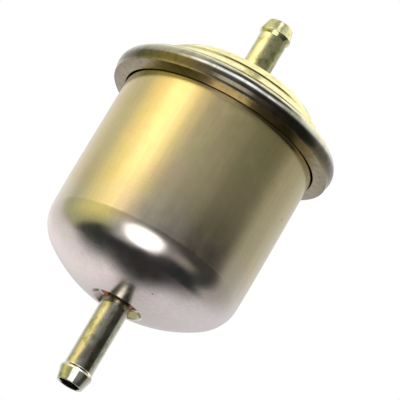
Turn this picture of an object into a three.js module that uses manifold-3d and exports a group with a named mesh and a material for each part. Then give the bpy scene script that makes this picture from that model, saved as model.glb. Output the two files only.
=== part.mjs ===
// In-line fuel filter in a plated steel canister: a deep-drawn can with a domed end, a stepped lid
// rolled over the can's rim, a brazed hose spigot at each end, and a pleated paper element inside.
// Millimetres. The filter's axis is Z: the inlet spigot's end face is at z = 0, fuel runs towards +Z.
import * as THREE from "three";
import { mergeVertices } from "three/addons/utils/BufferGeometryUtils.js";
import Module from "manifold-3d";

const wasm = await Module();
wasm.setup();

// ---- driving dimensions ----
const LENGTH = 115; // over both spigots
const SHEET = 0.8; // can and lid steel
const GAP = 0.3; // clearance between pieces that bear on each other
const CLEARANCE = 0.06; // clearance between concentric pieces on the same axis

const TUBE_R = 4; // 8 mm spigot for 8 mm hose
const BORE_R = 3;
const TIP_R = 3.6;
const BEAD_R = 4.55;
const BEAD_PEAK = 3.5; // from the spigot's end to the bead's largest ring
const BEAD_END = 4.8; // from the spigot's end to the bead's foot
const FLARE_R = 4.9; // the inlet tube's flared inner end

const CAN_BASE_R = 27.7; // outside radius where the dome begins
const CAN_TOP_R = 27.9; // outside radius under the rim
const DOME_TOP = 39.75; // where the wall meets the dome's corner
const DOME_R = 39.3; // dished end
const CORNER_R = 10; // between the dished end and the wall
const SEAT_R = 7.5; // sunk seat round the inlet spigot
const SEAT_FLOOR_R = 6.3;
const SEAT_Z = 26.7;
const BRAZE_R = 2; // hollow radius of the braze fillets

const RIM_Z = 80.9; // underside of the can's rim
const RIM_BEND_R = 0.6;
const RIM_CUP_R = 31.2; // the rim's turned-up edge
const RIM_CUP_BEND_R = 1.2;
const RIM_CUP_TOP = 83.8;

const LIP_Z = 82.9; // the rolled lip's widest ring
const LIP_HIGH_R = 3.4; // lip section above it
const LIP_HIGH_CENTRE = 29.1;
const LIP_FOOT_R = 32.2; // outside radius at the lip's lower corner
const LIP_FOOT_Z = 80.2;
const LIP_FOOT_BEND_R = 0.9;
const LIP_EDGE_R = 28.6; // the lid's free edge, folded in under the rim
const LIP_EDGE_Z = 79.6;
const LID_TOP = 95;

const CAP_R = 24.8; // element end caps
const CAP_SHEET = 0.5;
const CAP_RIM = 3;
const ELEMENT_BOTTOM = 40.5;
const ELEMENT_TOP = 84.8;
const ADHESIVE = 1.2;
const PLEATS = 32;
const PLEAT_IN_R = 10;
const PLEAT_OUT_R = 23.6;
const PAPER = 0.45;
const FOLD = 0.2; // half the space inside a fold
const CORE_R = 9; // perforated centre tube
const CORE_SHEET = 0.6;
const HOLE_R = 1.6;
const HOLE_ROWS = 5;
const HOLES_PER_ROW = 8;
const GROMMET_R = 6.6;

const ROUND = 40; // facets round the can and the lid
const SMALL_ROUND = 24; // facets round the spigots and the element's small parts

// ---- materials ----
function finish(color, roughness, metalness) {
  return new THREE.MeshStandardMaterial({ color, roughness, metalness });
}
const plated = finish(0xb9a878, 0.32, 1);
const copper = finish(0xb8694a, 0.45, 1);
const tinplate = finish(0xb4b6b8, 0.35, 1);
const springSteel = finish(0x5d6064, 0.4, 1);
const paper = finish(0xd8bd83, 0.95, 0);
const potting = finish(0x3b4a55, 0.8, 0);
const rubber = finish(0x1c1c1d, 0.85, 0);

// ---- outlines: lists of [radius, z] ----
const radians = (degrees) => (degrees * Math.PI) / 180;

// Points on an arc round [r, z], from one angle to another (0 degrees points outwards, 90 up).
function arc(r, z, radius, from, to, steps) {
  const points = [];
  for (let i = 0; i <= steps; i++) {
    const a = radians(from + ((to - from) * i) / steps);
    points.push([r + radius * Math.cos(a), z + radius * Math.sin(a)]);
  }
  return points;
}

// The line moved sideways by a distance, to the left of its direction, with mitred corners.
function offsetLine(line, distance) {
  return line.map((point, i) => {
    const before = line[Math.max(i - 1, 0)];
    const after = line[Math.min(i + 1, line.length - 1)];
    const a = new THREE.Vector2(point[0] - before[0], point[1] - before[1]);
    const b = new THREE.Vector2(after[0] - point[0], after[1] - point[1]);
    if (a.length() === 0) a.copy(b);
    if (b.length() === 0) b.copy(a);
    a.normalize();
    b.normalize();
    const normal = new THREE.Vector2(-(a.y + b.y), a.x + b.x).normalize();
    const reach = distance / (normal.x * -a.y + normal.y * a.x);
    return [point[0] + normal.x * reach, point[1] + normal.y * reach];
  });
}

// The closed section of a sheet whose outer face follows a line.
function sheetSection(line, thickness) {
  return [...line, ...offsetLine(line, thickness).reverse()];
}

// ---- solids ----
// A closed section turned round Z. The section may run either way round.
function turned(section, segments) {
  let area = 0;
  section.forEach(([r, z], i) => {
    const [nextR, nextZ] = section[(i + 1) % section.length];
    area += r * nextZ - nextR * z;
  });
  const ordered = area > 0 ? section : [...section].reverse();
  const points = [...ordered, ordered[0]].map(([r, z]) => new THREE.Vector2(r, z));
  return new THREE.LatheGeometry(points, segments).rotateX(Math.PI / 2);
}

// A flat shape given a depth along Z.
function extruded(shape, depth) {
  return new THREE.ExtrudeGeometry(shape, { depth, bevelEnabled: false });
}

function toSolid(geometry) {
  const bare = geometry.clone();
  bare.deleteAttribute("normal");
  bare.deleteAttribute("uv");
  const merged = mergeVertices(bare, 1e-4);
  const mesh = new wasm.Mesh({
    numProp: 3,
    vertProperties: merged.attributes.position.array,
    triVerts: new Uint32Array(merged.index.array),
  });
  return new wasm.Manifold(mesh);
}

function toGeometry(solid) {
  const mesh = solid.getMesh();
  const geometry = new THREE.BufferGeometry();
  geometry.setAttribute("position", new THREE.BufferAttribute(mesh.vertProperties, 3));
  geometry.setIndex(new THREE.BufferAttribute(mesh.triVerts, 1));
  geometry.computeVertexNormals();
  return geometry;
}

const filter = new THREE.Group();

function add(name, geometry, material) {
  const mesh = new THREE.Mesh(geometry, material);
  mesh.name = name;
  filter.add(mesh);
}

// ---- canister ----
function canSection() {
  const dishCentre =
    DOME_TOP + Math.sqrt((DOME_R - CORNER_R) ** 2 - (CAN_BASE_R - CORNER_R) ** 2);
  const seatAngle = THREE.MathUtils.radToDeg(Math.asin(SEAT_R / DOME_R)) - 90;
  const cornerCentre = CAN_BASE_R - CORNER_R;
  const cornerAngle = THREE.MathUtils.radToDeg(Math.atan2(DOME_TOP - dishCentre, cornerCentre));
  const outer = [
    [TUBE_R + CLEARANCE, SEAT_Z],
    [SEAT_FLOOR_R, SEAT_Z],
    ...arc(0, dishCentre, DOME_R, seatAngle, cornerAngle, 4),
    ...arc(cornerCentre, DOME_TOP, CORNER_R, cornerAngle, 0, 6).slice(1),
    ...arc(CAN_TOP_R + RIM_BEND_R, RIM_Z - RIM_BEND_R, RIM_BEND_R, 180, 90, 2),
    ...arc(RIM_CUP_R - RIM_CUP_BEND_R, RIM_Z + RIM_CUP_BEND_R, RIM_CUP_BEND_R, -90, 0, 3),
    [RIM_CUP_R, RIM_CUP_TOP],
  ];
  return sheetSection(outer, SHEET);
}

function lidSection() {
  const outer = [
    [LIP_EDGE_R, LIP_EDGE_Z],
    ...arc(LIP_FOOT_R - LIP_FOOT_BEND_R, LIP_FOOT_Z + LIP_FOOT_BEND_R, LIP_FOOT_BEND_R, -85, -5, 3),
    ...arc(LIP_HIGH_CENTRE, LIP_Z, LIP_HIGH_R, 0, 55, 3),
    [30.45, 85.95],
    [30.25, 86.35],
    [28.7, 87.15],
    [24.15, 90.25],
    [23.87, 90.85],
    [20.4, 93.65],
    [17.5, 94.65],
    [15, LID_TOP],
    [TUBE_R + CLEARANCE, LID_TOP],
  ];
  return sheetSection(outer, SHEET);
}

// A seal ring lies in the can's turned-up rim, under the lid.
function seamSealSection() {
  const floor = RIM_Z + SHEET + CLEARANCE;
  return [
    [28.7, floor],
    [30.1, floor],
    [30.1, floor + 2.8],
    [28.7, floor + 3],
  ];
}

add("can", turned(canSection(), ROUND), plated);
add("lid", turned(lidSection(), ROUND), plated);
add("seam_seal", turned(seamSealSection(), ROUND), rubber);

// ---- spigots ----
// The outside of a hose spigot from its end face to its bead's foot, as distances from the end.
const spigotEnd = [
  [BORE_R, 0],
  [TIP_R, 0],
  [TIP_R + 0.3, 1.2],
  [BEAD_R - 0.1, BEAD_PEAK - 0.5],
  [BEAD_R, BEAD_PEAK],
  [BEAD_R - 0.12, BEAD_PEAK + 0.35],
  [TUBE_R + 0.08, BEAD_END - 0.3],
  [TUBE_R, BEAD_END],
];

function inletTubeSection() {
  const innerEnd = SEAT_Z + 3.3;
  return [
    ...spigotEnd,
    [TUBE_R, SEAT_Z + SHEET + GAP],
    [FLARE_R, innerEnd],
    [FLARE_R - 1, innerEnd],
    [BORE_R, SEAT_Z + SHEET + GAP],
  ];
}

function outletTubeSection() {
  const innerEnd = ELEMENT_TOP + 1.2;
  const fromTop = spigotEnd.map(([r, distance]) => [r, LENGTH - distance]);
  return [...fromTop, [TUBE_R, innerEnd], [BORE_R, innerEnd]];
}

// A braze fillet between the tube and a flat seat; side is -1 below the seat and 1 above it.
function brazeSection(seatZ, side) {
  const inner = TUBE_R + CLEARANCE;
  const foot = seatZ + side * CLEARANCE;
  const edge = inner + BRAZE_R;
  const hollow = arc(edge, 0, BRAZE_R, 180, 90, 5).map(([r, z]) => [
    r,
    foot + side * (BRAZE_R - z),
  ]);
  return [[inner, foot], ...hollow.slice(0, -1), [edge, foot + side * 0.12], [edge, foot]];
}

add("inlet_tube", turned(inletTubeSection(), SMALL_ROUND), plated);
add("outlet_tube", turned(outletTubeSection(), SMALL_ROUND), plated);
add("inlet_braze_ring", turned(brazeSection(SEAT_Z, -1), SMALL_ROUND), copper);
add("outlet_braze_ring", turned(brazeSection(LID_TOP, 1), SMALL_ROUND), copper);

// ---- filter element ----
const pottingLow = ELEMENT_BOTTOM + CAP_SHEET + CLEARANCE;
const pottingHigh = ELEMENT_TOP - CAP_SHEET - CLEARANCE;
const paperLow = pottingLow + ADHESIVE + CLEARANCE;
const paperHigh = pottingHigh - ADHESIVE - CLEARANCE;

function ringSection(innerR, outerR, low, high) {
  return [
    [innerR, low],
    [outerR, low],
    [outerR, high],
    [innerR, high],
  ];
}

// A ring of pleats, as a flat shape: the outside of the folded paper, with its inside as a hole.
function pleatShape() {
  const polar = (r, a) => new THREE.Vector2(r * Math.cos(a), r * Math.sin(a));
  const outside = [];
  const inside = [];
  for (let i = 0; i < PLEATS; i++) {
    const crest = (2 * Math.PI * i) / PLEATS;
    const valley = crest + Math.PI / PLEATS;
    const line = (list, outR, outHalf, inR, inHalf) =>
      list.push(
        polar(outR, crest - outHalf / outR),
        polar(outR, crest + outHalf / outR),
        polar(inR, valley - inHalf / inR),
        polar(inR, valley + inHalf / inR),
      );
    line(outside, PLEAT_OUT_R, FOLD + PAPER, PLEAT_IN_R + PAPER, FOLD);
    line(inside, PLEAT_OUT_R - PAPER, FOLD, PLEAT_IN_R, FOLD + PAPER);
  }
  const shape = new THREE.Shape(outside);
  shape.holes.push(new THREE.Path(inside));
  return shape;
}

function pleatedPaper() {
  const depth = paperHigh - paperLow;
  return extruded(pleatShape(), depth).translate(0, 0, paperLow);
}

// The metal clip that joins the paper's two ends: a channel over one pleat's crest.
function seamClip() {
  const sheet = 0.4;
  const half = FOLD + PAPER + GAP;
  const root = PLEAT_OUT_R - 2.6;
  const back = PLEAT_OUT_R + GAP;
  const channel = new THREE.Shape([
    new THREE.Vector2(root, -half - sheet),
    new THREE.Vector2(back + sheet, -half - sheet),
    new THREE.Vector2(back + sheet, half + sheet),
    new THREE.Vector2(root, half + sheet),
    new THREE.Vector2(root, half),
    new THREE.Vector2(back, half),
    new THREE.Vector2(back, -half),
    new THREE.Vector2(root, -half),
  ]);
  const low = ELEMENT_BOTTOM + CAP_RIM + 0.5;
  const depth = ELEMENT_TOP - CAP_RIM - 0.5 - low;
  return extruded(channel, depth).translate(0, 0, low);
}

function perforatedCore() {
  const wall = turned(ringSection(CORE_R - CORE_SHEET, CORE_R, paperLow, paperHigh), SMALL_ROUND);
  const drill = new THREE.CylinderGeometry(HOLE_R, HOLE_R, 4, 8);
  drill.rotateZ(Math.PI / 2);
  drill.translate(CORE_R, 0, 0);
  const pitch = (paperHigh - paperLow) / HOLE_ROWS;
  let core = toSolid(wall);
  for (let row = 0; row < HOLE_ROWS; row++) {
    for (let hole = 0; hole < HOLES_PER_ROW; hole++) {
      const turn = (2 * Math.PI * (hole + (row % 2) / 2)) / HOLES_PER_ROW;
      const cutter = drill.clone().rotateZ(turn).translate(0, 0, paperLow + pitch * (row + 0.5));
      core = core.subtract(toSolid(cutter));
    }
  }
  return toGeometry(core);
}

function bottomCapSection() {
  const outer = [
    [CAP_R, ELEMENT_BOTTOM + CAP_RIM],
    [CAP_R, ELEMENT_BOTTOM + 0.8],
    [CAP_R - 0.8, ELEMENT_BOTTOM],
    [0, ELEMENT_BOTTOM],
  ];
  const inner = offsetLine(outer, -CAP_SHEET).reverse();
  return [...outer, ...inner];
}

function topCapSection() {
  const outer = [
    [CAP_R, ELEMENT_TOP - CAP_RIM],
    [CAP_R, ELEMENT_TOP - 0.8],
    [CAP_R - 0.8, ELEMENT_TOP],
    [GROMMET_R + CLEARANCE, ELEMENT_TOP],
  ];
  return sheetSection(outer, CAP_SHEET);
}

// The rubber grommet clips into the top cap's hole and seals on the outlet tube's inner end.
function grommetSection() {
  const inner = TUBE_R + CLEARANCE;
  const flange = GROMMET_R + 1.6;
  const underCap = pottingHigh - ADHESIVE - 1;
  return [
    [inner, underCap],
    [GROMMET_R - 0.6, underCap],
    [GROMMET_R, underCap + 0.8],
    [GROMMET_R, ELEMENT_TOP + CLEARANCE],
    [flange, ELEMENT_TOP + CLEARANCE],
    [flange, ELEMENT_TOP + 1.2],
    [GROMMET_R, ELEMENT_TOP + 3.4],
    [inner, ELEMENT_TOP + 3.4],
  ];
}

// The adhesive is a full disc at the bottom, and at the top a ring round the grommet.
function adhesiveSection(innerR, low) {
  return ringSection(innerR, CAP_R - CAP_SHEET - 0.6, low, low + ADHESIVE);
}

add("pleated_paper", pleatedPaper(), paper);
add("paper_seam_clip", seamClip(), tinplate);
add("centre_tube", perforatedCore(), tinplate);
add("bottom_end_cap", turned(bottomCapSection(), ROUND), tinplate);
add("top_end_cap", turned(topCapSection(), ROUND), tinplate);
add("bottom_adhesive", turned(adhesiveSection(0, pottingLow), ROUND), potting);
add("top_adhesive", turned(adhesiveSection(GROMMET_R + 0.8, pottingHigh - ADHESIVE), ROUND), potting);
add("outlet_grommet", turned(grommetSection(), SMALL_ROUND), rubber);

// A pressed leaf spring with three legs stands in the dome and holds the element against the lid.
function supportSpring() {
  const sheet = 0.6;
  const hubTop = ELEMENT_BOTTOM - GAP;
  const hub = ringSection(3.5, 9, hubTop - sheet, hubTop);
  const legLine = [
    [7.5, hubTop],
    [10, hubTop],
    [18.2, 32.2],
    [20, 31.9],
    [21.2, 32.8],
  ];
  const section = sheetSection(legLine, -sheet).map(([r, z]) => new THREE.Vector2(r, z));
  const width = 6;
  const leg = extruded(new THREE.Shape(section), width);
  leg.rotateX(Math.PI / 2).translate(0, width / 2, 0);
  let spring = toSolid(turned(hub, SMALL_ROUND));
  for (let i = 0; i < 3; i++) {
    spring = spring.add(toSolid(leg.clone().rotateZ((2 * Math.PI * i) / 3)));
  }
  return toGeometry(spring);
}

add("support_spring", supportSpring(), springSteel);

export default filter;
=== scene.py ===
"""In-line fuel filter: the fine surface and the finishes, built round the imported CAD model.

The filter's axis is Z and its inlet end face is at z = 0. Sections are written in millimetres as
(radius, z) and turned round Z; every mesh is in metres, in the row frame.
"""
import math
from functools import cache

import bmesh
import bpy
from mathutils import Matrix, Vector, noise


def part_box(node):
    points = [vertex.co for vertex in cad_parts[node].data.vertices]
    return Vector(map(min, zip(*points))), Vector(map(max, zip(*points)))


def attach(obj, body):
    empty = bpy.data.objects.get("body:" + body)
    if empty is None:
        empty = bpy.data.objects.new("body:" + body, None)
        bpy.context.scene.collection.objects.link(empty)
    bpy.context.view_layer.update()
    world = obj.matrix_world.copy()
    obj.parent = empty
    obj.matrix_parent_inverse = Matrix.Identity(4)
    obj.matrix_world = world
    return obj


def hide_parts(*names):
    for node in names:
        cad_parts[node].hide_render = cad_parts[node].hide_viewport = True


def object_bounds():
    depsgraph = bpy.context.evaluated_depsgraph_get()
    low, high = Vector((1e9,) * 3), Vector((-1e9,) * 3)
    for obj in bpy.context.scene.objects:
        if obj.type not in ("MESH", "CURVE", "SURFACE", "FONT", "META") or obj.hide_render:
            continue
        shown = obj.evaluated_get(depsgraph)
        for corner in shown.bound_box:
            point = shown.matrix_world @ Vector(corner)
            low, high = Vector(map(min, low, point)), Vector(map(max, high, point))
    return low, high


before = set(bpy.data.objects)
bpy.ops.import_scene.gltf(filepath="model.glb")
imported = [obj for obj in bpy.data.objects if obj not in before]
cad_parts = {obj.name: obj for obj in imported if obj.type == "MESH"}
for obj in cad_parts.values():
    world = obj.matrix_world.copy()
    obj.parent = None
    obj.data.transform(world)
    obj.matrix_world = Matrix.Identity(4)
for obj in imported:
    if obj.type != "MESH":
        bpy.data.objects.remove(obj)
CAD_BOX = [list(corner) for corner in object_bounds()]

MM = 0.001
BODY = "root"
ROUND = 192  # facets round the can and the lid
SMALL_ROUND = 96  # facets round the spigots and the element's small parts
SHEET = 0.8  # can and lid steel, mm
CLEARANCE = 0.06  # left between pieces that are pressed, rolled or brazed tight, mm
FLOOR_DROP = 0.0005  # the floor's distance below the inlet end, m


def span(node):
    """Lowest z, highest z and largest radius of a CAD node, in millimetres."""
    low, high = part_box(node)
    return low.z / MM, high.z / MM, high.x / MM


MOUTH_LOW, CAN_HIGH, _ = span("can")
LID_LOW, LID_HIGH, LID_R = span("lid")
_, SEAT_Z, _ = span("inlet_braze_ring")
SEAT_Z += CLEARANCE
TUBE_LOW, INLET_HIGH, _ = span("inlet_tube")
OUTLET_LOW, TUBE_HIGH, _ = span("outlet_tube")


# ---------------------------------------------------------------- outlines
def arc(r, z, radius, start, stop, step=6.0):
    """Points on an arc round (r, z); 0 degrees points outwards and 90 up."""
    count = max(2, math.ceil(abs(stop - start) / step))
    angles = [math.radians(start + (stop - start) * i / count) for i in range(count + 1)]
    return [(r + radius * math.cos(a), z + radius * math.sin(a)) for a in angles]


def rounded(corners, step=8.0, count=None):
    """A line through (x, y, fillet) corners, each one rounded, in steps of an angle or by count."""
    points = []
    for i, corner in enumerate(corners):
        here = Vector(corner[:2])
        fillet = corner[2] if len(corner) > 2 else 0
        if not fillet or i in (0, len(corners) - 1):
            points.append(tuple(here))
            continue
        back = (Vector(corners[i - 1][:2]) - here).normalized()
        ahead = (Vector(corners[i + 1][:2]) - here).normalized()
        half = back.angle(ahead) / 2
        if half > math.radians(89.5):
            points.append(tuple(here))
            continue
        reach = fillet / math.tan(half)
        centre = here + (back + ahead).normalized() * fillet / math.sin(half)
        first, last = here + back * reach - centre, here + ahead * reach - centre
        turn = first.angle_signed(last)
        steps = count or max(2, math.ceil(abs(math.degrees(turn)) / step))
        for k in range(steps + 1):
            a = -turn * k / steps
            c, s = math.cos(a), math.sin(a)
            points.append(
                (centre.x + first.x * c - first.y * s, centre.y + first.x * s + first.y * c)
            )
    return points


def dense(line, longest=1.6, guard=0.12):
    """The line with its long straights split, and a point close to each of their ends."""
    points = [line[0]]
    for a, b in zip(line, line[1:]):
        a, b = Vector(a), Vector(b)
        length = (b - a).length
        if length > 4 * guard:
            count = max(1, math.ceil((length - 2 * guard) / longest))
            for k in range(count + 1):
                points.append(tuple(a.lerp(b, (guard + (length - 2 * guard) * k / count) / length)))
        if length > 1e-6:
            points.append(tuple(b))
    return points


def offset(line, distance):
    """The line moved sideways to the left of its direction, with mitred corners."""
    moved = []
    for i, point in enumerate(line):
        here = Vector(point)
        before = here - Vector(line[i - 1]) if i else Vector(line[1]) - here
        after = Vector(line[i + 1]) - here if i < len(line) - 1 else before
        before, after = before.normalized(), after.normalized()
        across = Vector((-before.y - after.y, before.x + after.x)).normalized()
        reach = distance / across.dot(Vector((-before.y, before.x)))
        moved.append(tuple(here + across * reach))
    return moved


def sheet(line, thickness=SHEET):
    """The closed section of a sheet whose outer face follows the line, with softened cut edges."""
    return soften_ends(line, offset(line, thickness))


def soften_ends(line, inner, size=0.12):
    """Joins a sheet's two faces with small chamfers at both cut edges."""
    def nib(a, b, ahead):
        a, b, ahead = Vector(a), Vector(b), Vector(ahead)
        across = (b - a).normalized()
        along = (ahead - a).normalized()
        return tuple(a + along * size), tuple(a + across * size)

    start_side, start_end = nib(line[0], inner[0], line[1])
    start_in_side, start_in_end = nib(inner[0], line[0], inner[1])
    stop_side, stop_end = nib(line[-1], inner[-1], line[-2])
    stop_in_side, stop_in_end = nib(inner[-1], line[-1], inner[-2])
    return [
        start_end,
        start_side,
        *line[1:-1],
        stop_side,
        stop_end,
        stop_in_end,
        stop_in_side,
        *reversed(inner[1:-1]),
        start_in_side,
        start_in_end,
    ]


# ---------------------------------------------------------------- meshes
def to_object(name, bm, material, slot, *nodes, sharp=35):
    """Makes the piece: smooth faces, its finish, and the CAD nodes that it stands for."""
    bmesh.ops.recalc_face_normals(bm, faces=bm.faces)
    for face in bm.faces:
        face.smooth = True
    mesh = bpy.data.meshes.new(name)
    bm.to_mesh(mesh)
    bm.free()
    mesh.set_sharp_from_angle(angle=math.radians(sharp))
    piece = bpy.data.objects.new(name, mesh)
    bpy.context.scene.collection.objects.link(piece)
    piece.data.materials.append(material)
    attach(piece, BODY)
    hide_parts(*nodes)
    return piece


def turned(section, segments=ROUND, shift=None):
    """A closed section turned round Z. shift(radius, z, angle) may move a point in its section."""
    bm = bmesh.new()
    rings = []
    for r, z in section:
        if r < 1e-6:
            rings.append([bm.verts.new((0, 0, z * MM))] * segments)
            continue
        ring = []
        for k in range(segments):
            angle = 2 * math.pi * k / segments
            rr, zz = shift(r, z, angle) if shift else (r, z)
            ring.append(bm.verts.new((rr * math.cos(angle) * MM, rr * math.sin(angle) * MM, zz * MM)))
        rings.append(ring)
    for i, ring in enumerate(rings):
        after = rings[(i + 1) % len(rings)]
        for k in range(segments):
            n = (k + 1) % segments
            corners = list(dict.fromkeys((ring[k], ring[n], after[n], after[k])))
            if len(corners) > 2:
                bm.faces.new(corners)
    return bm


# ---------------------------------------------------------------- material tools
class Nodes:
    """Short calls for building a node tree."""

    def __init__(self, tree):
        self.tree = tree
        tree.nodes.clear()

    def add(self, kind, inputs=None, **settings):
        node = self.tree.nodes.new(kind)
        for key, value in settings.items():
            setattr(node, key, value)
        for key, value in (inputs or {}).items():
            self.feed(node.inputs[key], value)
        return node

    def feed(self, socket, value):
        if isinstance(value, bpy.types.NodeSocket):
            self.tree.links.new(value, socket)
        else:
            socket.default_value = value

    def math(self, operation, a, b=0.0, c=0.0):
        return self.add("ShaderNodeMath", {0: a, 1: b, 2: c}, operation=operation).outputs[0]

    def fit(self, value, low, high, to_low=0.0, to_high=1.0, kind="SMOOTHSTEP"):
        inputs = {"Value": value, "From Min": low, "From Max": high}
        inputs.update({"To Min": to_low, "To Max": to_high})
        return self.add("ShaderNodeMapRange", inputs, interpolation_type=kind).outputs[0]

    def ramp(self, value, stops, mode="LINEAR"):
        node = self.add("ShaderNodeValToRGB", {0: value})
        ramp = node.color_ramp
        ramp.interpolation = mode
        while len(ramp.elements) > 1:
            ramp.elements.remove(ramp.elements[-1])
        for i, (position, colour) in enumerate(stops):
            element = ramp.elements[0] if i == 0 else ramp.elements.new(position)
            element.position = position
            element.color = (*colour, 1)
        return node.outputs[0]

    def mix(self, factor, a, b, mode="MIX"):
        node = self.add("ShaderNodeMix", data_type="RGBA", blend_type=mode)
        self.feed(node.inputs[0], factor)
        for socket, value in ((node.inputs[6], a), (node.inputs[7], b)):
            self.feed(socket, (*value, 1) if isinstance(value, tuple) and len(value) == 3 else value)
        return node.outputs[2]

    def noise(self, vector, scale, detail=3.0, roughness=0.5, distortion=0.0):
        inputs = {"Vector": vector, "Scale": scale, "Detail": detail}
        inputs.update({"Roughness": roughness, "Distortion": distortion})
        return self.add("ShaderNodeTexNoise", inputs).outputs[0]

    def stretched(self, vector, scale):
        node = self.add("ShaderNodeVectorMath", {0: vector, 1: scale}, operation="MULTIPLY")
        return node.outputs[0]


def new_material(name):
    material = bpy.data.materials.new(name)
    material.use_nodes = True
    return material, Nodes(material.node_tree)


def finish_material(n, **sockets):
    """One Principled shader. Plain values go on its own sockets."""
    shader = n.add("ShaderNodeBsdfPrincipled")
    for key, value in sockets.items():
        socket = shader.inputs[key.replace("_", " ")]
        if isinstance(value, tuple) and len(value) == 3 and socket.type == "RGBA":
            value = (*value, 1)
        n.feed(socket, value)
    output = n.add("ShaderNodeOutputMaterial")
    n.tree.links.new(shader.outputs[0], output.inputs[0])
    return shader


def plated(name, hues, low, high, rough=0.18, drift=3.0, streak=0.5, blotch=0.0):
    """Yellow-passivated zinc: hue by height, cloudy iridescence, drawing streaks and dark specks.

    low and high are the heights, in mm, that the hues run between, and drift is how far they wander.
    """
    material, n = new_material(name)
    place = n.add("ShaderNodeTexCoord").outputs["Object"]
    split = n.add("ShaderNodeSeparateXYZ", {0: place})
    clouds = n.noise(place, 55.0, 2.0, 0.5, 0.6)
    wander = drift / (high - low)
    wander = n.fit(clouds, 0.3, 0.7, -wander, wander, "LINEAR")
    height = n.fit(split.outputs[2], low * MM, high * MM, 0.0, 1.0, "LINEAR")
    hues = [((z - low) / (high - low), colour) for z, colour in hues]
    base = n.ramp(n.math("ADD", height, wander), hues)

    film = n.noise(place, 140.0, 3.0, 0.55, 0.4)
    tint = n.ramp(
        film, [(0.3, (1.0, 0.90, 0.98)), (0.5, (1.0, 1.0, 1.0)), (0.7, (0.93, 1.0, 0.92))]
    )
    base = n.mix(0.5, base, tint, "MULTIPLY")

    grain = n.noise(place, 2600.0, 2.0, 0.6)
    pale = (1.0, 1.0, 1.0)
    base = n.mix(1.0, base, n.ramp(grain, [(0.3, (0.93, 0.93, 0.93)), (0.7, pale)]), "MULTIPLY")
    lines = n.noise(n.stretched(place, (1.0, 1.0, 0.035)), 900.0, 3.0, 0.6)
    drawn = n.ramp(lines, [(0.35, (0.9, 0.9, 0.9)), (0.6, pale)])
    base = n.mix(streak, base, drawn, "MULTIPLY")
    mottle = n.noise(n.stretched(place, (1.0, 1.0, 0.6)), 480.0, 4.0, 0.6, 0.5)
    stain = n.ramp(mottle, [(0.38, (0.42, 0.44, 0.30)), (0.52, pale)])
    base = n.mix(blotch, base, stain, "MULTIPLY")

    cells = n.add("ShaderNodeTexVoronoi", {"Vector": place, "Scale": 150.0})
    chance = n.add("ShaderNodeSeparateColor", {0: cells.outputs["Color"]}).outputs[0]
    spot = n.fit(cells.outputs["Distance"], 0.035, 0.06, 1.0, 0.0)
    speck = n.math("MULTIPLY", n.math("MULTIPLY", n.math("GREATER_THAN", chance, 0.86), spot), 0.6)
    base = n.mix(speck, base, (0.05, 0.045, 0.04))

    wear = n.noise(place, 320.0, 4.0, 0.6)
    roughness = n.fit(wear, 0.3, 0.7, rough - 0.03, rough + 0.04, "LINEAR")
    roughness = n.math("ADD", roughness, n.math("MULTIPLY", speck, 0.3))
    dimple = n.math("ADD", n.math("MULTIPLY", grain, 0.6), n.math("MULTIPLY", lines, 0.5))
    bump = n.add("ShaderNodeBump", {"Strength": 0.10, "Distance": 0.02 * MM, "Height": dimple})
    finish_material(
        n, Base_Color=base, Metallic=1.0, Roughness=roughness, Normal=bump.outputs[0]
    )
    return material


def can_plating():
    hues = [
        (25, (0.74, 0.665, 0.63)),
        (33, (0.74, 0.665, 0.63)),
        (40, (0.73, 0.65, 0.54)),
        (48, (0.71, 0.62, 0.40)),
        (67, (0.70, 0.61, 0.35)),
        (85, (0.65, 0.55, 0.28)),
    ]
    return plated("can_plating", hues, 25, 85)


def lid_plating():
    """Brown and grey round the worked lip, with a dark band on its face that is partly the plating's
    own tone and partly painted shade; greenish gold on the lid's steps.
    """
    hues = [
        (79.5, (0.40, 0.33, 0.22)),
        # 81.2 to 82.4 mm: dark brown on the lip's face, partly the plating's tone and partly painted
        #                  shade standing in for the dark reflections there.
        (81.2, (0.20, 0.17, 0.11)),
        (82.4, (0.20, 0.18, 0.14)),
        (83.8, (0.48, 0.49, 0.48)),
        (85.2, (0.68, 0.66, 0.56)),
        (86.2, (0.84, 0.77, 0.36)),
        (96.0, (0.83, 0.76, 0.35)),
    ]
    return plated("lid_plating", hues, 79, 97, rough=0.15, drift=0.3, streak=0.1, blotch=0.4)


@cache
def spigot_plating():
    """Greenish gold at the lid's end, paler at the dome's, darker towards the seat and near black
    round the brazed foot.
    """
    hues = [
        (0, (0.76, 0.74, 0.64)),
        (20, (0.70, 0.69, 0.56)),
        (23.8, (0.60, 0.57, 0.46)),
        (25.2, (0.16, 0.12, 0.09)),
        (31, (0.16, 0.12, 0.09)),
        (32, (0.70, 0.64, 0.30)),
        (90, (0.80, 0.76, 0.44)),
        (115, (0.82, 0.79, 0.50)),
    ]
    return plated("spigot_plating", hues, 0, 115, rough=0.10, drift=0.5, blotch=0.65)


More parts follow.
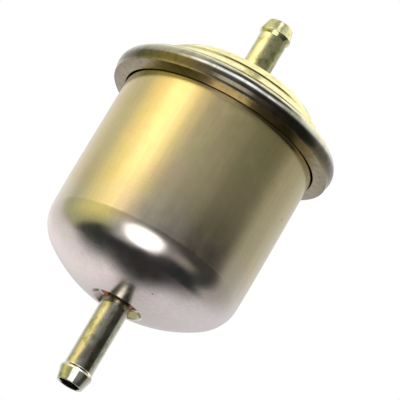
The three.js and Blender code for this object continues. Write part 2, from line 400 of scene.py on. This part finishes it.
@cache
def copper_braze():
    """Copper that ran from the torch: bright patches, and painted shade, near black, on the side that
    faces the camera (negative y).
    """
    material, n = new_material("copper_braze")
    place = n.add("ShaderNodeTexCoord").outputs["Object"]
    patches = n.noise(place, 420.0, 4.0, 0.6, 0.8)
    base = n.ramp(
        patches,
        [(0.3, (0.20, 0.10, 0.06)), (0.45, (0.55, 0.23, 0.12)), (0.7, (0.76, 0.40, 0.26))],
    )
    # Painted shade: on the negative-y side, the camera's side, the copper is darkened to near black
    # and made rougher, standing in for the dark reflections it shows there.
    side = n.add("ShaderNodeSeparateXYZ", {0: place}).outputs[1]
    side = n.math("ADD", side, n.fit(patches, 0.3, 0.7, -0.6 * MM, 0.6 * MM, "LINEAR"))
    near_side_shade = n.fit(side, -3.4 * MM, -1.8 * MM, 0.95, 0.0)
    base = n.mix(near_side_shade, base, (0.03, 0.022, 0.018))
    sheen = n.fit(patches, 0.3, 0.7, 0.48, 0.26, "LINEAR")
    roughness = n.math("ADD", sheen, n.math("MULTIPLY", near_side_shade, 0.2))
    ripple = n.noise(place, 1500.0, 3.0, 0.6)
    bump = n.add("ShaderNodeBump", {"Strength": 0.25, "Distance": 0.05 * MM, "Height": ripple})
    finish_material(
        n, Base_Color=base, Metallic=1.0, Roughness=roughness, Normal=bump.outputs[0]
    )
    return material


def sheet_metal(name, pale, dark, rough):
    """Thin tinned or oiled sheet: spangle patches, rolling lines and a mottled sheen."""
    material, n = new_material(name)
    place = n.add("ShaderNodeTexCoord").outputs["Object"]
    cells = n.add("ShaderNodeTexVoronoi", {"Vector": place, "Scale": 260.0})
    patch = n.add("ShaderNodeSeparateColor", {0: cells.outputs["Color"]}).outputs[0]
    base = n.mix(n.fit(patch, 0, 1, 0.0, 0.35, "LINEAR"), pale, dark)
    lines = n.noise(n.stretched(place, (1.0, 0.04, 1.0)), 1400.0, 3.0, 0.6)
    base = n.mix(n.fit(lines, 0.3, 0.7, 0.0, 0.3, "LINEAR"), base, dark)
    roughness = n.fit(n.noise(place, 300.0, 3.0), 0.3, 0.7, rough - 0.06, rough + 0.08, "LINEAR")
    bump = n.add("ShaderNodeBump", {"Strength": 0.12, "Distance": 0.02 * MM, "Height": lines})
    finish_material(
        n, Base_Color=base, Metallic=1.0, Roughness=roughness, Normal=bump.outputs[0]
    )
    return material


@cache
def tinned_steel():
    return sheet_metal("tinned_steel", (0.72, 0.73, 0.74), (0.45, 0.46, 0.47), 0.30)


def filter_paper():
    material, n = new_material("filter_paper")
    place = n.add("ShaderNodeTexCoord").outputs["Object"]
    fibres = n.noise(n.stretched(place, (1.0, 1.0, 0.25)), 3200.0, 5.0, 0.7, 0.8)
    base = n.ramp(fibres, [(0.25, (0.62, 0.49, 0.28)), (0.75, (0.88, 0.77, 0.55))])
    resin = n.noise(place, 160.0, 3.0)
    base = n.mix(n.fit(resin, 0.35, 0.75, 0.0, 0.4, "LINEAR"), base, (0.66, 0.47, 0.22))
    roughness = n.fit(resin, 0.3, 0.7, 0.95, 0.75, "LINEAR")
    bump = n.add("ShaderNodeBump", {"Strength": 0.5, "Distance": 0.06 * MM, "Height": fibres})
    finish_material(n, Base_Color=base, Roughness=roughness, Normal=bump.outputs[0])
    return material


@cache
def potting():
    material, n = new_material("potting")
    place = n.add("ShaderNodeTexCoord").outputs["Object"]
    flow = n.noise(place, 240.0, 4.0, 0.6, 1.0)
    base = n.ramp(flow, [(0.3, (0.15, 0.20, 0.24)), (0.7, (0.30, 0.37, 0.42))])
    roughness = n.fit(flow, 0.3, 0.7, 0.62, 0.85, "LINEAR")
    bump = n.add("ShaderNodeBump", {"Strength": 0.4, "Distance": 0.1 * MM, "Height": flow})
    finish_material(n, Base_Color=base, Roughness=roughness, Normal=bump.outputs[0])
    return material


@cache
def rubber():
    material, n = new_material("rubber")
    place = n.add("ShaderNodeTexCoord").outputs["Object"]
    bloom = n.noise(place, 500.0, 4.0, 0.6)
    base = n.ramp(bloom, [(0.35, (0.012, 0.012, 0.013)), (0.75, (0.045, 0.045, 0.047))])
    roughness = n.fit(bloom, 0.3, 0.7, 0.62, 0.9, "LINEAR")
    skin = n.noise(place, 3000.0, 2.0)
    bump = n.add("ShaderNodeBump", {"Strength": 0.3, "Distance": 0.03 * MM, "Height": skin})
    finish_material(n, Base_Color=base, Roughness=roughness, Normal=bump.outputs[0])
    return material


# ---------------------------------------------------------------- canister
CAN_BASE_R = 27.7
CAN_TOP_R = 27.9
DOME_TOP = MOUTH_LOW + 15.23  # where the wall meets the dome's corner
DOME_R = 39.3
CORNER_R = 10.0
SEAT_R = 7.5
SEAT_FLOOR_R = 6.3
RIM_Z = LID_LOW + 1.3


def can():
    """Deep-drawn can: dished end with a sunk seat, straight wall, turned-out and turned-up rim."""
    centre_r = CAN_BASE_R - CORNER_R
    centre_z = DOME_TOP + math.sqrt((DOME_R - CORNER_R) ** 2 - centre_r**2)
    seat_angle = math.degrees(math.asin(SEAT_R / DOME_R)) - 90
    corner_angle = math.degrees(math.atan2(DOME_TOP - centre_z, centre_r))
    seat_edge = Vector(arc(0, centre_z, DOME_R, seat_angle, corner_angle)[0])
    seat = rounded(
        [
            (4 + CLEARANCE, SEAT_Z),
            (SEAT_FLOOR_R, SEAT_Z, 0.6),
            (seat_edge.x - 0.1, seat_edge.y - 0.02, 0.55),
            (seat_edge.x + 1.6, seat_edge.y + 0.32),
        ]
    )
    mouth_round = 2.4  # degrees of the dome that the mouth's rounding takes up
    # The wall draws in by a little towards the dome, so its lower part leans by up to 3 degrees.
    lean = 3.0
    first = arc(centre_r, DOME_TOP, CORNER_R, corner_angle, -lean, 3)[1:]
    reach = 17.0
    swell = [
        (
            first[-1][0] + (CAN_TOP_R - first[-1][0]) * (1 - (1 - k / 12) ** 2),
            first[-1][1] + reach * k / 12,
        )
        for k in range(1, 13)
    ]
    line = [
        *seat[:-1],
        *arc(0, centre_z, DOME_R, seat_angle + mouth_round, corner_angle, 1.2),
        *first,
        *swell,
        *arc(CAN_TOP_R + 0.6, RIM_Z - 0.6, 0.6, 180, 90, 12),
        *arc(31.2 - 1.2, RIM_Z + 1.2, 1.2, -90, 0, 12),
        (31.2, CAN_HIGH),
    ]
    section = sheet(dense(line))
    return to_object("can_shell", turned(section), can_plating(), "can_plating", "can")


def lid():
    """Stepped lid whose edge is rolled round and folded in under the can's rim."""
    widest = LID_LOW + 3.3
    high_r = 3.4
    high_stop = 55  # degrees up from the lip's widest point
    lip = rounded(
        [
            (28.3, LID_LOW),
            (32.05, LID_LOW + 0.6, 0.12),
            (32.1, widest - 2.0, 1.2),
            (LID_R - 0.1, widest - 0.9, 1.5),
            (LID_R, widest),
        ],
        6,
    )
    lip += arc(LID_R - high_r, widest, high_r, 0, high_stop, 5)[1:]
    steps = rounded(
        [
            (*lip[-1], 0),
            (30.45, LID_HIGH - 9.05, 0.3),
            (30.25, LID_HIGH - 8.65, 0.3),
            (28.7, LID_HIGH - 7.85, 1.5),
            (24.15, LID_HIGH - 4.75, 0.2),
            (23.87, LID_HIGH - 4.15, 0.2),
            (20.4, LID_HIGH - 1.35, 0.9),
            (17.5, LID_HIGH - 0.35, 3.0),
            (15.0, LID_HIGH, 3.0),
            (4 + CLEARANCE, LID_HIGH),
        ]
    )
    section = sheet(dense(lip + steps[1:]))
    return to_object("lid_shell", turned(section), lid_plating(), "lid_plating", "lid")


def spigot_end(end, side):
    """The outside of a hose spigot from its end face to its bead's foot; side is 1 going up."""
    profile = rounded(
        [
            (3.0, 0.25),
            (3.25, 0.0, 0.15),
            (3.6, 0.0, 0.25),
            (3.95, 1.3, 1.0),
            (4.55, 3.4, 0.3),
            (4.4, 3.95, 0.3),
            (4.0, 4.55, 0.35),
            (4.0, 7.0),
        ],
        6,
    )
    return [(r, end + side * z) for r, z in profile]


def inlet_spigot():
    section = [
        *spigot_end(TUBE_LOW, 1),
        (4.0, SEAT_Z + SHEET + 0.3),
        (4.9, INLET_HIGH),
        (3.9, INLET_HIGH),
        (3.0, SEAT_Z + SHEET + 0.3),
    ]
    section = dense(section + section[:1])[:-1]
    bm = turned(section, SMALL_ROUND)
    return to_object("inlet_spigot", bm, spigot_plating(), "spigot_plating", "inlet_tube")


def outlet_spigot():
    section = [*spigot_end(TUBE_HIGH, -1), (4.0, OUTLET_LOW), (3.0, OUTLET_LOW)]
    section = dense(section + section[:1])[:-1]
    bm = turned(section, SMALL_ROUND)
    return to_object("outlet_spigot", bm, spigot_plating(), "spigot_plating", "outlet_tube")


def braze_ring(name, node, seat_z, side):
    """A fillet of braze that ran round the spigot's foot, slightly uneven."""
    inner = 4 + CLEARANCE
    radius = 2.0
    foot = seat_z + side * CLEARANCE
    hollow = [(r, foot + side * (radius - z)) for r, z in arc(inner + radius, 0, radius, 172, 98, 8)]
    section = [
        (inner, foot),
        (inner, foot + side * (radius - 0.25)),
        *hollow,
        (inner + radius - 0.05, foot + side * 0.05),
    ]

    def uneven(r, z, angle):
        if r < inner + 0.01:
            return r, z
        swell = noise.noise(Vector((math.cos(angle) * 1.7, math.sin(angle) * 1.7, seat_z)))
        share = (r - inner) / radius
        grown = inner + (r - inner) * (1 + 0.1 * swell - 0.05)
        height = (z - foot) * (1 + 0.12 * swell - 0.06)
        return grown, foot + height * (1 - 0.02 * share)

    bm = turned(section, SMALL_ROUND, uneven)
    return to_object(name, bm, copper_braze(), "copper_braze", node, sharp=50)


# ---------------------------------------------------------------- filter element
CAP_SHEET = 0.5
PLEATS = 32
PAPER = 0.45
FOLD = 0.2  # half the space inside a fold


def swept(outer, inner, low, high, levels, closed, shift=None):
    """A band between two outlines of equal length, carried up Z. It may close on itself."""
    bm = bmesh.new()
    stacks = []
    for level in range(levels + 1):
        z = low + (high - low) * level / levels
        for outline in (outer, inner):
            moved = [shift(x, y, z) if shift else (x, y) for x, y in outline]
            stacks.append([bm.verts.new((x * MM, y * MM, z * MM)) for x, y in moved])
    count = len(outer)
    pairs = [(k, (k + 1) % count) for k in range(count if closed else count - 1)]
    for level in range(levels):
        here, above = stacks[2 * level : 2 * level + 2], stacks[2 * level + 2 : 2 * level + 4]
        for below, top in zip(here, above):
            for k, n in pairs:
                bm.faces.new((below[k], below[n], top[n], top[k]))
        if not closed:
            for k in (0, -1):
                bm.faces.new((here[0][k], here[1][k], above[1][k], above[0][k]))
    for outside, inside in (stacks[:2], stacks[-2:]):
        for k, n in pairs:
            bm.faces.new((outside[k], outside[n], inside[n], inside[k]))
    return bm


def pleat_outline(crest_r, crest_half, crest_fillet, valley_r, valley_half, valley_fillet):
    """One face of the folded paper, seen along Z: crests and valleys with rounded corners."""
    corners = []
    for i in range(PLEATS):
        crest = 2 * math.pi * i / PLEATS
        valley = crest + math.pi / PLEATS
        for r, at, half, fillet in (
            (crest_r, crest, crest_half, crest_fillet),
            (valley_r, valley, valley_half, valley_fillet),
        ):
            for angle in (at - half / r, at + half / r):
                corners.append((r * math.cos(angle), r * math.sin(angle), fillet))
    return rounded([corners[-1], *corners, corners[0]], count=4)[1:-1]


def pleated_paper():
    """Star-folded paper with rounded folds that waver slightly from end to end."""
    low, high, crest_r = span("pleated_paper")
    valley_r = 10.0
    outside = pleat_outline(crest_r, FOLD + PAPER, 0.6, valley_r + PAPER, FOLD, 0.18)
    inside = pleat_outline(crest_r - PAPER, FOLD, 0.18, valley_r, FOLD + PAPER, 0.6)

    def waver(x, y, z):
        angle = 0.004 * noise.noise(Vector((x * 0.15, y * 0.15, z * 0.12)))
        return x * math.cos(angle) - y * math.sin(angle), x * math.sin(angle) + y * math.cos(angle)

    bm = swept(outside, inside, low, high, 16, True, waver)
    return to_object("filter_pleats", bm, filter_paper(), "filter_paper", "pleated_paper")


def seam_clip():
    """A bent channel pressed over one crest, where the paper's two ends meet."""
    low, high, back = span("paper_seam_clip")
    thickness = 0.4
    half = FOLD + PAPER + 0.3 + thickness
    root = back - 3.3
    outer = rounded([(root, -half), (back, -half, 0.7), (back, half, 0.7), (root, half)], count=6)
    inner = offset(outer, thickness)
    bm = swept(outer, inner, low, high, 12, False)
    return to_object("seam_clip", bm, tinned_steel(), "tinned_steel", "paper_seam_clip")


def perforated_core():
    """A steel tube with five staggered rows of eight round holes."""
    low, high, radius = span("centre_tube")
    wall = 0.6
    hole_r = 1.6
    rows, per_row, side = 5, 8, 6
    pitch = (high - low) / rows
    width = 2 * math.pi * radius / per_row
    rim = [(k / side - 0.5, -0.5) for k in range(side)]
    rim += [(0.5, k / side - 0.5) for k in range(side)]
    rim += [(0.5 - k / side, 0.5) for k in range(side)]
    rim += [(-0.5, 0.5 - k / side) for k in range(side)]
    bm = bmesh.new()

    def ring(centre_angle, centre_z, share, depth):
        made = []
        for u, v in rim:
            angle = math.atan2(v, u)
            x = (u * width) * share + hole_r * math.cos(angle) * (1 - share)
            z = (v * pitch) * share + hole_r * math.sin(angle) * (1 - share)
            turn = centre_angle + x / radius
            r = (radius - depth) * MM
            made.append(bm.verts.new((r * math.cos(turn), r * math.sin(turn), (centre_z + z) * MM)))
        return made

    count = len(rim)
    for row in range(rows):
        for hole in range(per_row):
            at = 2 * math.pi * (hole + (row % 2) / 2) / per_row, low + pitch * (row + 0.5)
            rings = [ring(*at, share, 0) for share in (1, 0.4, 0.04)]
            rings += [ring(*at, 0, depth) for depth in (0.08, wall - 0.08)]
            rings += [ring(*at, share, wall) for share in (0.04, 0.4, 1)]
            for a, b in zip(rings, rings[1:]):
                for k in range(count):
                    n = (k + 1) % count
                    bm.faces.new((a[k], a[n], b[n], b[k]))
            for end, edge in ((0, range(side)), (rows - 1, range(2 * side, 3 * side))):
                if row == end:
                    for k in edge:
                        corners = rings[0][k], rings[0][k + 1], rings[-1][k + 1], rings[-1][k]
                        bm.faces.new(corners)
    bmesh.ops.remove_doubles(bm, verts=bm.verts, dist=1e-7)
    return to_object("core_tube", bm, tinned_steel(), "tinned_steel", "centre_tube")


def bottom_cap():
    low, high, radius = span("bottom_end_cap")
    line = rounded([(0, low), (radius, low, 1.1), (radius, high)])
    section = [*dense(line), *reversed(offset(dense(line), CAP_SHEET))]
    return to_object("bottom_cap", turned(section), tinned_steel(), "tinned_steel", "bottom_end_cap")


def top_cap():
    low, high, radius = span("top_end_cap")
    line = rounded([(radius, low), (radius, high, 1.1), (6.6 + CLEARANCE, high)])
    section = sheet(dense(line), CAP_SHEET)
    return to_object("top_cap", turned(section), tinned_steel(), "tinned_steel", "top_end_cap")


def block(inner_r, outer_r, low, high, fillet):
    """The section of a solid ring with rounded corners."""
    corners = [(inner_r, low), (outer_r, low), (outer_r, high), (inner_r, high)]
    corners = [(r, z, 0 if r == 0 else fillet) for r, z in corners]
    return rounded([(inner_r, (low + high) / 2), *corners, (inner_r, (low + high) / 2)])[1:-1]


def adhesive(name, node, inner_r):
    """The potting that the pleats' ends are set in, with a slightly uneven face."""
    low, high, radius = span(node)

    def uneven(r, z, angle):
        away = Vector((math.cos(angle), math.sin(angle), 0)) * r * 0.3
        return r, z - 0.03 + 0.03 * noise.noise(away)

    bm = turned(dense(block(inner_r, radius, low + 0.03, high, 0.15)), ROUND, uneven)
    return to_object(name, bm, potting(), "potting", node)


def grommet():
    """A rubber grommet, clipped into the top cap, with a sealing lip round the outlet spigot."""
    low, high, flange = span("outlet_grommet")
    cap_top = span("top_end_cap")[1]
    neck = 6.6
    inner = 4 + CLEARANCE
    corners = [
        (inner, low, 0.3),
        (neck - 0.6, low, 0.2),
        (neck, low + 0.8, 0.2),
        (neck, cap_top + CLEARANCE, 0.1),
        (flange, cap_top + CLEARANCE, 0.25),
        (flange, cap_top + 1.2, 0.4),
        (neck, high, 0.6),
        (inner, high, 0.4),
    ]
    middle = (inner, (low + high) / 2)
    section = dense(rounded([middle, *corners, middle]))[:-1]
    bm = turned(section, SMALL_ROUND)
    return to_object("grommet", bm, rubber(), "rubber", "outlet_grommet")


def seam_seal():
    """The seal ring that the rolled seam presses between lid and rim."""
    low, high, radius = span("seam_seal")
    bm = turned(dense(block(radius - 1.4, radius, low, high - 0.1, 0.35)))
    return to_object("lip_seal", bm, rubber(), "rubber", "seam_seal")


def support_spring():
    """The CAD leaf spring stays as it is, with softened edges and its own finish."""
    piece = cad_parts["support_spring"]
    piece.material_slots[0].link = "OBJECT"
    finish = sheet_metal("spring_steel", (0.36, 0.37, 0.39), (0.18, 0.18, 0.19), 0.34)
    piece.material_slots[0].material = finish
    bevel = piece.modifiers.new("softened edges", "BEVEL")
    bevel.width = 0.12 * MM
    bevel.segments = 2
    bevel.limit_method = "ANGLE"


# ---------------------------------------------------------------- studio
def softbox(n, azimuth, elevation, at, size, edge):
    """A soft-edged, square-shouldered lamp or flag on the studio's sphere, from 0 to 1. Degrees."""
    shoulder = 2.6  # 2 is an ellipse, and more is squarer
    away = n.math("SUBTRACT", azimuth, at[0])
    away = n.math("WRAP", away, 180.0, -180.0)
    a = n.math("DIVIDE", away, size[0])
    e = n.math("DIVIDE", n.math("SUBTRACT", elevation, at[1]), size[1])
    a, e = (n.math("POWER", n.math("ABSOLUTE", part), shoulder) for part in (a, e))
    reach = n.math("POWER", n.math("ADD", a, e), 1 / shoulder)
    return n.fit(reach, 1 - edge, 1 + edge, 1.0, 0.0)


# (azimuth, elevation), (half width, half height), edge, colour. Azimuth 0 is the camera's side
# and positive turns to its right.
FLAGS = [
    ((-92, -55), (46, 21), 0.3, (0.04, 0.045, 0.04)),
    ((70, -24), (20, 36), 0.5, (0.05, 0.055, 0.05)),
    ((64, -58), (60, 17), 0.4, (0.025, 0.03, 0.03)),
    ((54, 14.5), (28, 3.5), 0.35, (0.04, 0.04, 0.035)),
    ((35, 24), (60, 4), 0.2, (0.19, 0.19, 0.15)),
    ((20, 69), (100, 13), 0.3, (0.07, 0.07, 0.06)),
]
LAMPS = [
    ((-12, -24), (42, 24), 0.45, (0.18, 0.18, 0.20)),
    ((-42, -53), (20, 11), 0.6, (0.26, 0.26, 0.28)),
    ((-11, -32), (25, 27), 0.2, (1.8, 1.8, 1.85)),
    ((-70, 2), (26, 20), 0.9, (0.52, 0.41, 0.12)),
    ((-62, 28), (34, 14), 0.4, (0.52, 0.38, 0.13)),
    ((-58, 28), (16, 11), 0.5, (0.85, 0.80, 0.60)),
    ((42, -25), (15, 10), 0.7, (0.22, 0.22, 0.20)),
    ((-12, 37), (50, 11), 0.2, (1.5, 1.5, 1.6)),
    ((-2, 50), (16, 8), 0.3, (0.9, 0.9, 0.95)),
]
# The room's colour by azimuth, at three heights that fade into each other.
CEILING = [
    (-180, (1.30, 1.26, 1.12)),
    (-135, (0.85, 0.83, 0.66)),
    (-90, (0.80, 0.78, 0.62)),
    (0, (0.60, 0.60, 0.55)),
    (60, (0.85, 0.85, 0.75)),
    (120, (1.45, 1.38, 1.15)),
    (180, (1.30, 1.26, 1.12)),
]
UPPER_ROOM = [
    (-180, (0.80, 0.78, 0.78)),
    (-150, (0.92, 0.88, 0.86)),
    (-120, (0.82, 0.79, 0.72)),
    (-90, (0.80, 0.74, 0.62)),
    (-40, (0.64, 0.61, 0.55)),
    (-10, (0.60, 0.59, 0.55)),
    (12, (0.48, 0.47, 0.45)),
    (40, (0.43, 0.42, 0.40)),
    (70, (0.40, 0.39, 0.37)),
    (105, (0.50, 0.50, 0.49)),
    (150, (0.68, 0.68, 0.70)),
    (180, (0.80, 0.78, 0.78)),
]
LOWER_ROOM = [
    (-180, (0.66, 0.65, 0.65)),
    (-160, (1.04, 1.00, 1.02)),
    (-135, (0.85, 0.84, 0.82)),
    (-116, (0.46, 0.48, 0.28)),
    (-66, (0.40, 0.42, 0.19)),
    (-46, (0.28, 0.28, 0.25)),
    (-20, (0.26, 0.26, 0.27)),
    (2, (0.11, 0.11, 0.12)),
    (24, (0.07, 0.065, 0.065)),
    (74, (0.05, 0.045, 0.04)),
    (98, (0.44, 0.44, 0.40)),
    (150, (0.82, 0.82, 0.86)),
    (180, (0.66, 0.65, 0.65)),
]

# Elevations, in degrees, that one part of the room fades into the next between.
LOWER_TO_UPPER = (13, 20)
UPPER_TO_CEILING = (26, 38)
ROOM_TO_NADIR = (-55, -74)
ROOM_TO_ZENITH = (78, 86)


def studio_light():
    """A pale room with a warm window to the left, a lamp below the camera and dark flags."""
    world = bpy.data.worlds.new("studio")
    bpy.context.scene.world = world
    world.use_nodes = True
    n = Nodes(world.node_tree)
    way = n.add("ShaderNodeTexCoord").outputs["Generated"]
    split = n.add("ShaderNodeSeparateXYZ", {0: way})
    x, y, z = split.outputs
    azimuth = n.math("DEGREES", n.math("ARCTAN2", x, n.math("MULTIPLY", y, -1.0)))
    elevation = n.math("DEGREES", n.math("ARCSINE", z))

    turn = n.fit(azimuth, -180, 180, 0, 1, "LINEAR")
    ceiling, upper, lower = (
        n.ramp(turn, [((at + 180) / 360, colour) for at, colour in stops], "EASE")
        for stops in (CEILING, UPPER_ROOM, LOWER_ROOM)
    )
    room = n.mix(n.fit(elevation, *LOWER_TO_UPPER), lower, upper)
    room = n.mix(n.fit(elevation, *UPPER_TO_CEILING), room, ceiling)
    for at, size, edge, colour in FLAGS:
        room = n.mix(softbox(n, azimuth, elevation, at, size, edge), room, colour)
    for at, size, edge, colour in LAMPS:
        room = n.mix(softbox(n, azimuth, elevation, at, size, edge), room, colour, "ADD")
    room = n.mix(n.fit(elevation, *ROOM_TO_NADIR), room, (0.03, 0.03, 0.03))
    room = n.mix(n.fit(elevation, *ROOM_TO_ZENITH), room, (0.06, 0.06, 0.05))

    lit = n.add("ShaderNodeBackground", {"Color": room, "Strength": 1.0})
    seen = n.add("ShaderNodeBackground", {"Color": (1, 1, 1, 1), "Strength": 1.0})
    first = n.add("ShaderNodeLightPath").outputs["Is Camera Ray"]
    both = n.add("ShaderNodeMixShader", {0: first, 1: lit.outputs[0], 2: seen.outputs[0]})
    n.add("ShaderNodeOutputWorld", {0: both.outputs[0]})


def floor():
    """A pale floor under the inlet end. It shows from above only, so it never hides the filter."""
    bm = bmesh.new()
    bmesh.ops.create_grid(bm, x_segments=1, y_segments=1, size=3.0)
    mesh = bpy.data.meshes.new("floor")
    bm.to_mesh(mesh)
    bm.free()
    plane = bpy.data.objects.new("floor", mesh)
    plane.location.z = CAD_BOX[0][2] - FLOOR_DROP
    bpy.context.scene.collection.objects.link(plane)
    material, n = new_material("floor")
    pale = n.add("ShaderNodeBsdfDiffuse", {"Color": (0.9, 0.9, 0.9, 1)})
    clear = n.add("ShaderNodeBsdfTransparent")
    under = n.add("ShaderNodeNewGeometry").outputs["Backfacing"]
    both = n.add("ShaderNodeMixShader", {0: under, 1: pale.outputs[0], 2: clear.outputs[0]})
    n.add("ShaderNodeOutputMaterial", {0: both.outputs[0]})
    plane.data.materials.append(material)
    plane.visible_diffuse = False
    plane.visible_glossy = False
    plane.visible_shadow = False


def camera():
    """The photograph's view: from a little below the inlet end, the axis leaning to the right."""
    tilt = math.radians(18.5)
    roll = math.radians(30.5)
    distance = 684.0
    view_width = 105.263  # mm seen across the picture at the aim
    aim = Vector((4.92, 0, 60.8)) * MM
    out = Vector((0, -math.cos(tilt), -math.sin(tilt)))
    right = Vector((1, 0, 0))
    up = Vector((0, -math.sin(tilt), math.cos(tilt)))
    across = right * math.cos(roll) + up * math.sin(roll)
    rise = up * math.cos(roll) - right * math.sin(roll)
    data = bpy.data.cameras.new("camera")
    data.sensor_width = 36
    data.lens = data.sensor_width * distance / view_width
    data.clip_start, data.clip_end = 0.01, 20
    eye = bpy.data.objects.new("camera", data)
    turn = Matrix((across, rise, out)).transposed().to_4x4()
    eye.matrix_world = Matrix.Translation(aim + out * distance * MM) @ turn
    bpy.context.scene.collection.objects.link(eye)
    bpy.context.scene.camera = eye


# ---------------------------------------------------------------- assembly
can()
lid()
inlet_spigot()
outlet_spigot()
braze_ring("inlet_braze", "inlet_braze_ring", SEAT_Z, -1)
braze_ring("outlet_braze", "outlet_braze_ring", LID_HIGH, 1)
bottom_cap()
top_cap()
adhesive("bottom_potting", "bottom_adhesive", 0)
adhesive("top_potting", "top_adhesive", 7.4)
pleated_paper()
seam_clip()
perforated_core()
grommet()
seam_seal()
support_spring()

studio_light()
floor()
camera()
bpy.context.scene.view_settings.view_transform = "Standard"
bpy.context.scene.view_settings.look = "None"

bpy.context.view_layer.update()
